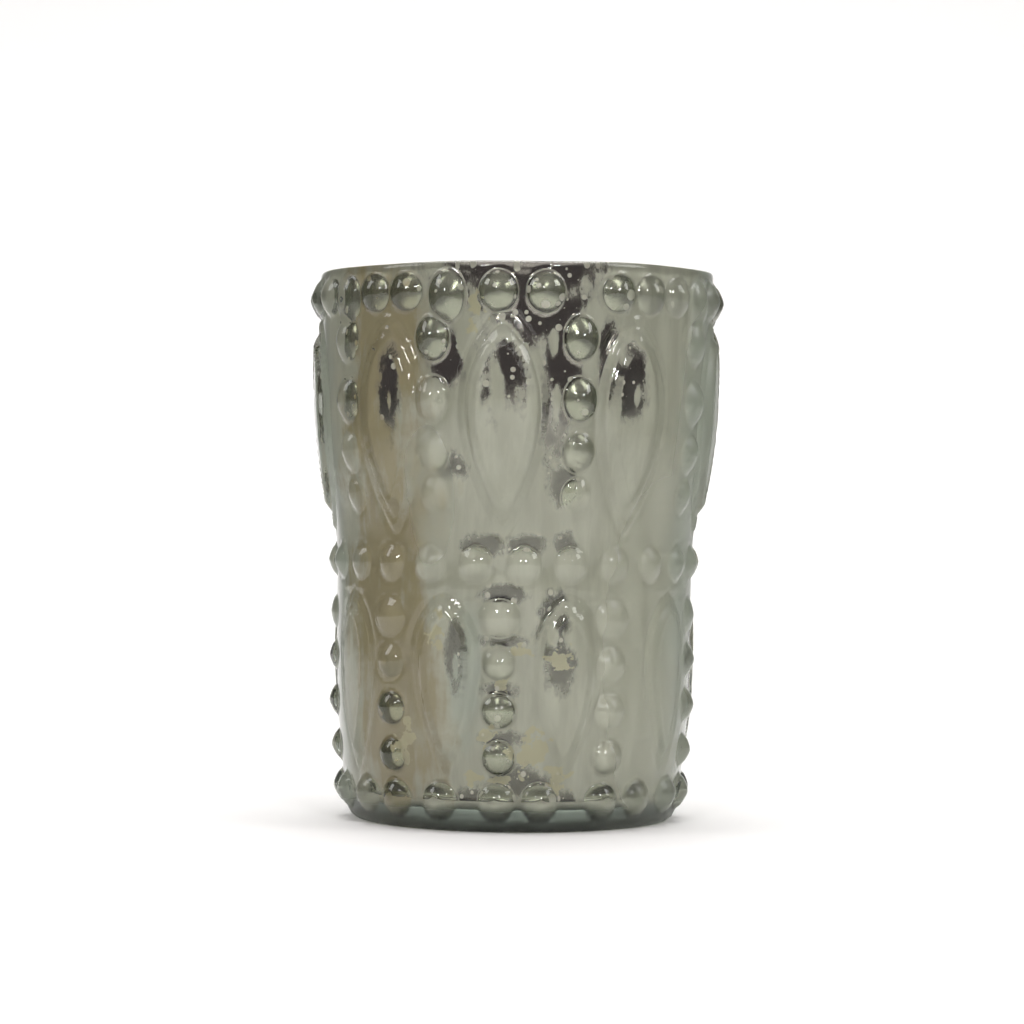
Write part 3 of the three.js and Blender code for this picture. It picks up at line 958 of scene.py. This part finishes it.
# Cotton fibres are 0.02 mm thick. These are coarser, so that they show.
FIBRE = 0.1111  # mm
fibres = add(tree, "ShaderNodeTexNoise", {"Vector": fibre_place, "Scale": 1 / (FIBRE * MM), "Detail": 2})
cotton_bump = add(tree, "ShaderNodeBump", {"Height": fibres.outputs["Fac"], "Strength": 0.6, "Distance": 0.00004})
cotton_shader = add(
    tree, "ShaderNodeBsdfPrincipled",
    {
        # Painted shade: darker where the fibres' bump lies low.
        "Base Color": add(
            tree, "ShaderNodeMix",
            {"Factor": fibres.outputs["Fac"], 6: linear("#CFC5AB"), 7: linear("#F1EBDA")},
            data_type="RGBA",
        ),
        "Roughness": 0.55,
        "Subsurface Weight": 0.2,
        "Subsurface Radius": (0.001, 0.0008, 0.0005),
        "Normal": cotton_bump,
    },
)
add(tree, "ShaderNodeOutputMaterial", {"Surface": cotton_shader})
wick.data.materials.append(cotton)

# ---------------------------------------------------------------- wax
# Paraffin poured into the cup round the plate and the wick. It shrinks as it sets, so its top is slightly
# dished, and it creeps up the cup's side and the wick.

_, wax_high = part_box("wax_fill")
MENISCUS = 0.5  # how far the wax creeps up the cup's side
WAX_TOP = wax_high[2] / MM - MENISCUS
WAX_R = CUP_R - SHEET - 0.06
WAX_POINTS = 240
WICK_HOLE = 0.8

underneath = [(PLATE_R + 0.15, 0.3), (13.5, 0.3), (14.2, 0.55), (15.4, 0.55), (16.1, 0.3), (17.5, 0.3)]
underneath += [(17.7 + 1.1 * math.sin(t), 1.4 - 1.1 * math.cos(t)) for t in np.linspace(0.2, math.pi / 2, 6)]
wax_rings = [even_ring(radius, CUP_FOOT + z, WAX_POINTS) for radius, z in underneath]
wax_rings += [even_ring(WAX_R, z, WAX_POINTS) for z in np.linspace(CUP_FOOT + 2.5, WAX_TOP + 0.42, 6)]
wax_turn = ring_angles(WAX_POINTS)
for radius in [*np.linspace(WAX_R - 0.08, WAX_R - 2, 8), *np.linspace(WAX_R - 3, 3, 15), 2.3, 1.8, 1.4, 1.1, 0.9]:
    dish = MENISCUS * math.exp((radius - WAX_R) / 0.5) + 0.45 * math.exp((WICK_HOLE - radius) / 0.7)
    ripples = np.sin(3 * wax_turn + radius / 3) + np.sin(2 * wax_turn - radius / 2.2 + 1) + np.sin(radius * 1.3)
    calm = smooth(WICK_HOLE, 4, radius) * smooth(WAX_R, WAX_R - 3, radius)
    wax_rings.append((even_ring(radius, 0, WAX_POINTS)[0], WAX_TOP - 0.1 + dish + 0.03 * ripples * calm))
over_collar = PLATE_Z + COLLAR + 0.1
for radius, z in [(WICK_HOLE, WAX_TOP), (WICK_HOLE, over_collar), (1.5, over_collar), (1.6, PLATE_Z + 0.9)]:
    wax_rings.append(even_ring(radius, z, WAX_POINTS))
wax_rings += [even_ring(radius, PLATE_Z + 0.5, WAX_POINTS) for radius in (2.4, PLATE_R + 0.15)]
wax = turned_piece("poured_wax", wax_rings)
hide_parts("wax_fill")
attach(wax, "tealight")

# Paraffin wax, set slowly: milky white, light soaks a few millimetres in, and its skin is faintly frosted
# where it has crystallised.
FEATHER, WAX_GRAIN = 3.85, 0.333  # mm across: the feathers that frost grows in, and its grain
paraffin, tree = new_material("white_paraffin")
place = add(tree, "ShaderNodeTexCoord").outputs["Object"]
frost = add(
    tree, "ShaderNodeTexNoise",
    {"Vector": place, "Scale": 1 / (FEATHER * MM), "Detail": 5, "Roughness": 0.6, "Distortion": 1},
)
grain = add(tree, "ShaderNodeTexNoise", {"Vector": place, "Scale": 1 / (WAX_GRAIN * MM), "Detail": 2})
skin = add(
    tree, "ShaderNodeMath",
    {
        0: frost.outputs["Fac"],
        1: add(tree, "ShaderNodeMath", {0: grain.outputs["Fac"], 1: 0.3}, operation="MULTIPLY"),
    },
    operation="ADD",
)
wax_bump = add(tree, "ShaderNodeBump", {"Height": skin, "Strength": 0.35, "Distance": 0.00006})
wax_shader = add(
    tree, "ShaderNodeBsdfPrincipled",
    {
        "Base Color": add(
            tree, "ShaderNodeMix",
            {"Factor": frost.outputs["Fac"], 6: linear("#EFEADB"), 7: linear("#FAF8F1")},
            data_type="RGBA",
        ),
        "Roughness": add(
            tree, "ShaderNodeMapRange",
            {"Value": frost.outputs["Fac"], "From Min": 0.35, "From Max": 0.65, "To Min": 0.34, "To Max": 0.52},
            interpolation_type="SMOOTHSTEP",
        ),
        "IOR": 1.44,
        "Subsurface Weight": 0.6,
        "Subsurface Radius": (0.004, 0.003, 0.002),
        "Normal": wax_bump,
    },
)
add(tree, "ShaderNodeOutputMaterial", {"Surface": wax_shader})
wax.data.materials.append(paraffin)

# ---------------------------------------------------------------- floor, light and camera
# A pale sweep of matt card that curves up behind the holder. A soft box hangs overhead, two small windows stand in
# front and a soft box on each side, and the room is left dim. None of it is part of the holder.

# The sweep's line, in metres, as distance behind the holder and height.
sweep_line = [(-1.6, 0), (0.5, 0)]
sweep_line += [(0.5 + 0.35 * math.sin(t), 0.35 - 0.35 * math.cos(t)) for t in np.linspace(0.1, math.pi / 2, 16)]
sweep_line += [(0.85, 2.2)]
sweep_points = [(x / MM, y / MM, z / MM) for y, z in sweep_line for x in (-2.2, 2.2)]
sweep_faces = [(2 * i, 2 * i + 1, 2 * i + 3, 2 * i + 2) for i in range(len(sweep_line) - 1)]
sweep = new_piece("sweep", sweep_points, sweep_faces)

# Uncoated card: matt, white in the middle, and greying off to both sides, like one laid on a darker table.
card, tree = new_material("pale_card")
card_place = add(tree, "ShaderNodeSeparateXYZ", {"Vector": add(tree, "ShaderNodeTexCoord").outputs["Object"]})
from_middle = add(tree, "ShaderNodeMath", {0: card_place.outputs["X"]}, operation="ABSOLUTE")
card_colour = add(
    tree, "ShaderNodeMix",
    {
        "Factor": add(
            tree, "ShaderNodeMapRange",
            {"Value": from_middle, "From Min": 0.24, "From Max": 0.5},
            interpolation_type="SMOOTHSTEP",
        ),
        6: linear("#F4F4F2"),
        7: linear("#707070"),
    },
    data_type="RGBA",
)
card_shader = add(tree, "ShaderNodeBsdfPrincipled", {"Base Color": card_colour, "Roughness": 0.9})
add(tree, "ShaderNodeOutputMaterial", {"Surface": card_shader})
sweep.data.materials.append(card)

# The room is dim below and lighter overhead.
world = bpy.data.worlds.new("dim_room")
bpy.context.scene.world = world
world.use_nodes = True
tree = world.node_tree
tree.nodes.clear()
above = add(tree, "ShaderNodeSeparateXYZ", {"Vector": add(tree, "ShaderNodeTexCoord").outputs["Generated"]})
room_light = add(
    tree, "ShaderNodeMapRange",
    {"Value": above.outputs["Z"], "From Min": 0.08, "From Max": 0.65, "To Min": 0.29, "To Max": 0.75},
    interpolation_type="SMOOTHSTEP",
)
room = add(tree, "ShaderNodeBackground", {"Color": linear("#CCC4C8"), "Strength": room_light})
add(tree, "ShaderNodeOutputWorld", {"Surface": room.outputs["Background"]})

middle = (box_at_start[0][2] + box_at_start[1][2]) / 2
# Each lamp's name, place, aim, width in metres and power in watts.
SOFT_BOXES = [
    ("overhead", (0.0, 0.35, 1.5), (0, 0, 0.05), 1.3, 21),
    ("left_window", (-0.3, -0.95, 0.45), (0, 0, middle), 0.11, 1.9),
    ("right_window", (0.34, -0.95, 0.45), (0, 0, middle), 0.11, 2.3),
    ("left", (-1.1, -0.25, 0.8), (0, 0, middle), 0.5, 3),
    ("right", (1.1, -0.35, 0.8), (0, 0, middle), 0.5, 4),
]
for name, spot, aim, width, power in SOFT_BOXES:
    lamp = bpy.data.lights.new(name, "AREA")
    lamp.shape = "RECTANGLE"
    lamp.size = width
    lamp.size_y = width
    lamp.energy = power
    stand = bpy.data.objects.new(name, lamp)
    bpy.context.scene.collection.objects.link(stand)
    stand.location = spot
    direction = np.array(aim) - np.array(spot)
    flat = math.hypot(direction[0], direction[1])
    stand.rotation_euler = (math.atan2(flat, -direction[2]), 0, math.atan2(-direction[0], direction[1]))

# A long lens half a metre off, a little over the middle of the holder.
camera = bpy.data.cameras.new("camera")
camera.sensor_width = 36
camera.lens = 110.8
camera.clip_start = 0.01
eye = bpy.data.objects.new("camera", camera)
bpy.context.scene.collection.objects.link(eye)
eye.location = (-0.0005, -0.55, 0.0565)
eye.rotation_euler = (math.radians(89.65), math.radians(-0.6), 0)
bpy.context.scene.camera = eye
bpy.context.scene.view_settings.view_transform = "Standard"
